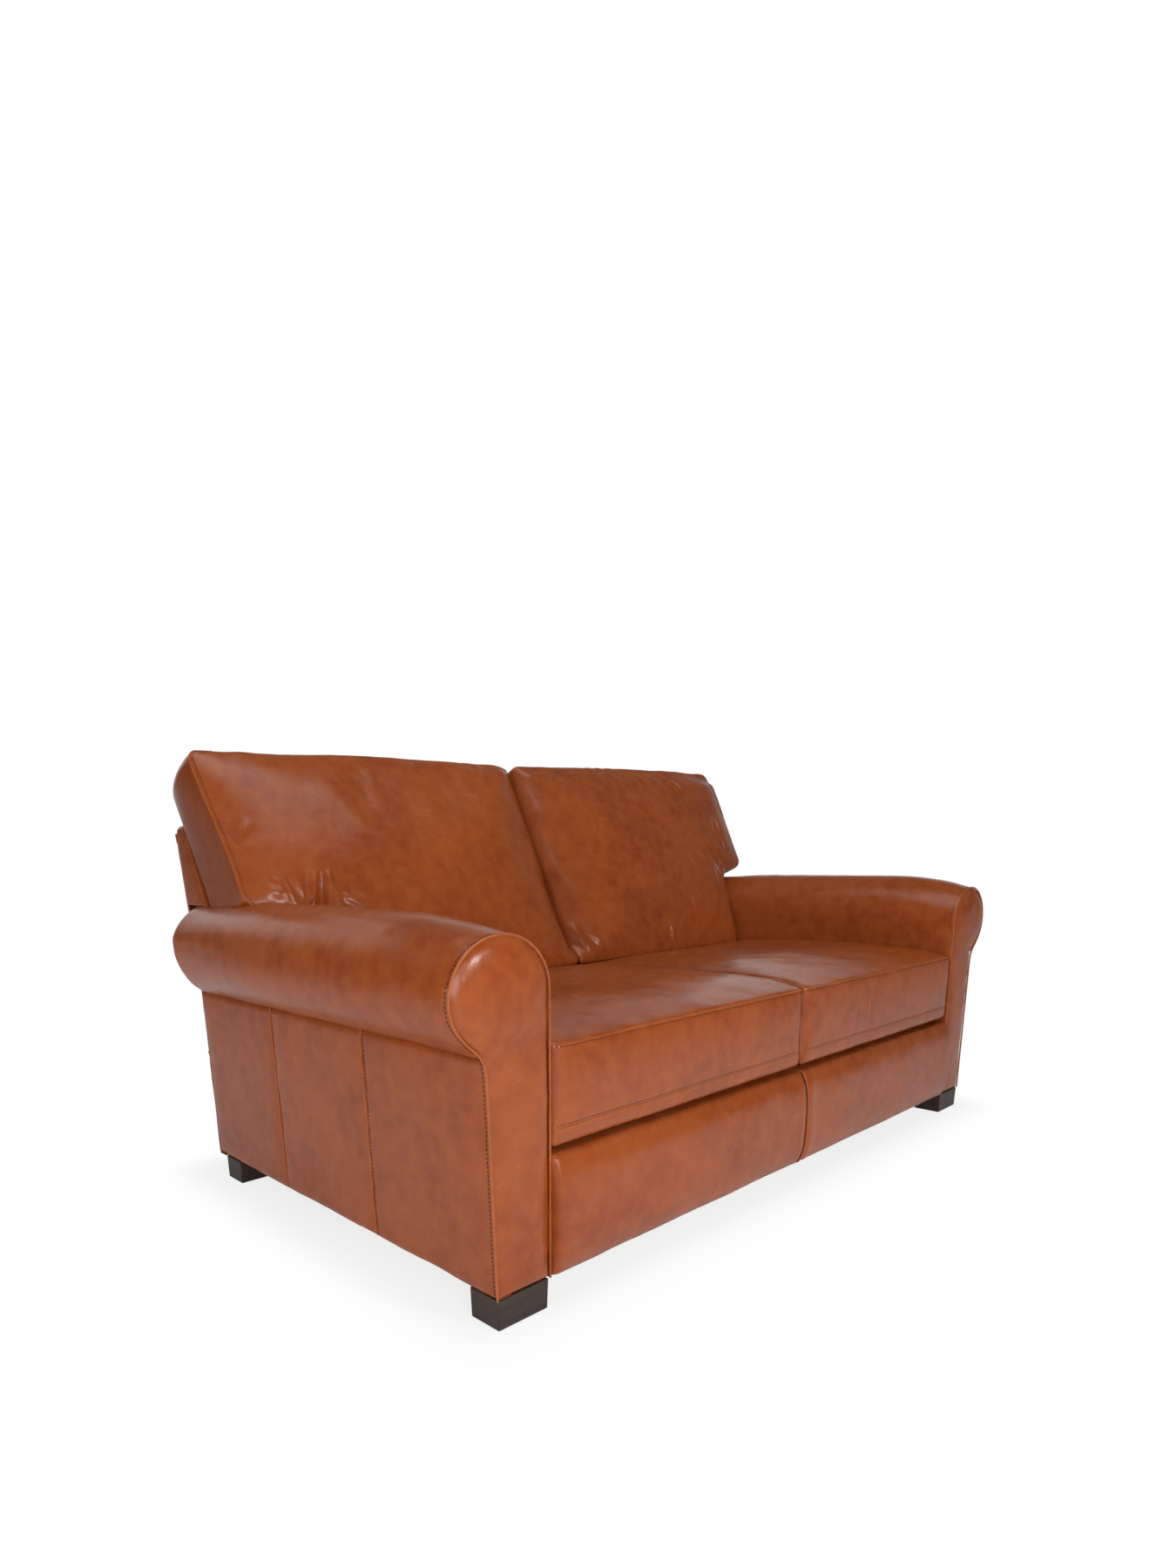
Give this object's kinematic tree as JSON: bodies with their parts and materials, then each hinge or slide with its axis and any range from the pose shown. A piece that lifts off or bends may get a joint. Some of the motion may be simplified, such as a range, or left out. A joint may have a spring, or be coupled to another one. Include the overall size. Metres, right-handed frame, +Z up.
{
  "type": "two-seat sofa",
  "caption": "Leather two-seat sofa with rolled arms, loose box seat cushions, raked back cushions that lap over the arms, and dark wooden block feet.",
  "frame": {"origin": "on the floor, under the middle of the whole sofa", "axes": "+X across the sofa towards the arm on the right as seen from the front, -Y out of the front of the seat, +Z up"},
  "size_m": [1.8196, 0.9918, 0.9],
  "materials": {
    "cognac_leather": "satin",
    "welt_leather": "satin",
    "espresso_wood": "satin",
    "frame_pine": "matte",
    "frame_plywood": "matte",
    "arm_card": "matte",
    "steel": "satin",
    "elastic_strap": "matte",
    "deck_cloth": "matte",
    "dust_cloth": "matte",
    "glide_nylon": "satin"
  },
  "bodies": {
    "frame": {"front_rail": "frame_pine", "rear_rail": "frame_pine", "spring_rail": "frame_pine", "left_side_rail": "frame_pine", "right_side_rail": "frame_pine", "center_rail": "frame_pine", "corner_blocks": "frame_pine", "corner_screws": "steel", "left_arm_front_board": "frame_plywood", "left_arm_rear_board": "frame_plywood", "left_arm_sill": "frame_pine", "left_arm_slats": "frame_pine", "left_arm_lining": "arm_card", "right_arm_front_board": "frame_plywood", "right_arm_rear_board": "frame_plywood", "right_arm_sill": "frame_pine", "right_arm_slats": "frame_pine", "right_arm_lining": "arm_card", "left_back_post": "frame_plywood", "right_back_post": "frame_plywood", "center_back_post": "frame_plywood", "left_ear_post": "frame_plywood", "right_ear_post": "frame_plywood", "back_top_rail": "frame_pine", "back_lower_rail": "frame_pine", "back_webbing": "elastic_strap", "seat_springs": "steel", "spring_clips": "steel", "seat_deck": "deck_cloth", "left_arm_cover": "cognac_leather", "right_arm_cover": "cognac_leather", "left_arm_front_panel": "cognac_leather", "right_arm_front_panel": "cognac_leather", "left_arm_welt": "welt_leather", "right_arm_welt": "welt_leather", "left_outside_front": "cognac_leather", "left_outside_middle": "cognac_leather", "left_outside_rear": "cognac_leather", "right_outside_front": "cognac_leather", "right_outside_middle": "cognac_leather", "right_outside_rear": "cognac_leather", "left_rail_cover": "cognac_leather", "right_rail_cover": "cognac_leather", "back_frame_cover": "cognac_leather", "outside_back_left": "cognac_leather", "outside_back_center": "cognac_leather", "outside_back_right": "cognac_leather", "dust_cover": "dust_cloth", "front_left_foot": "espresso_wood", "front_right_foot": "espresso_wood", "rear_left_foot": "espresso_wood", "rear_right_foot": "espresso_wood", "foot_bolts": "steel", "foot_nuts": "steel", "foot_glides": "glide_nylon"},
    "left_seat": {"left_seat_cushion": "cognac_leather"},
    "right_seat": {"right_seat_cushion": "cognac_leather"},
    "left_back": {"left_back_cushion": "cognac_leather"},
    "right_back": {"right_back_cushion": "cognac_leather"}
  },
  "joints": [
    {"name": "left_seat_pull", "type": "slide", "parent": "frame", "child": "left_seat", "axis": [0, -1, 0], "range_m": [0, 0.72]},
    {"name": "right_seat_pull", "type": "slide", "parent": "frame", "child": "right_seat", "axis": [0, -1, 0], "range_m": [0, 0.72]},
    {"name": "left_back_lift", "type": "slide", "parent": "frame", "child": "left_back", "axis": [0, 0.4321, 0.9018], "range_m": [0, 0.6]},
    {"name": "right_back_lift", "type": "slide", "parent": "frame", "child": "right_back", "axis": [0, 0.4321, 0.9018], "range_m": [0, 0.6]}
  ]
}
